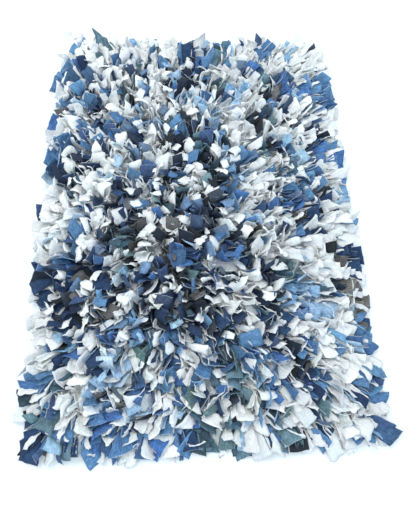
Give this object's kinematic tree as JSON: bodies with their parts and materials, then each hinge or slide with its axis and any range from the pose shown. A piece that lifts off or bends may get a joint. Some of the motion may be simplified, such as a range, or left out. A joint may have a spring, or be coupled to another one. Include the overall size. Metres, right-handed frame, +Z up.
{
  "type": "shag rug",
  "caption": "Rectangular shag rug: short cut cloth strips in blues, greys and white, knotted in rows on a flat woven backing.",
  "frame": {"origin": "on the floor under the middle of the rug", "axes": "+Y along the rug's length, +Z up through the pile, +X across the rows"},
  "size_m": [0.6595, 0.9565, 0.0469],
  "materials": {
    "cotton_backing": "plain-woven off-white cotton, matte",
    "white_cotton": "soft white cotton, creased, matte",
    "pale_denim": "washed pale blue denim, matte twill",
    "mid_denim": "mid blue denim, matte twill with frayed pale edges",
    "dark_denim": "dark navy denim, matte twill",
    "slate_twill": "grey-green slate twill, matte"
  },
  "bodies": {
    "root": {"backing_cloth": "cotton_backing", "strip_row_01": "white_cotton", "strip_row_02": "mid_denim", "strip_row_03": "white_cotton", "strip_row_04": "slate_twill", "strip_row_05": "mid_denim", "strip_row_06": "pale_denim", "strip_row_07": "white_cotton", "strip_row_08": "dark_denim", "strip_row_09": "pale_denim", "strip_row_10": "white_cotton", "strip_row_11": "slate_twill", "strip_row_12": "dark_denim", "strip_row_13": "white_cotton", "strip_row_14": "mid_denim", "strip_row_15": "white_cotton", "strip_row_16": "dark_denim", "strip_row_17": "mid_denim", "strip_row_18": "white_cotton", "strip_row_19": "pale_denim", "strip_row_20": "mid_denim", "strip_row_21": "white_cotton", "strip_row_22": "dark_denim", "strip_row_23": "mid_denim", "strip_row_24": "slate_twill", "strip_row_25": "white_cotton"}
  },
  "joints": []
}
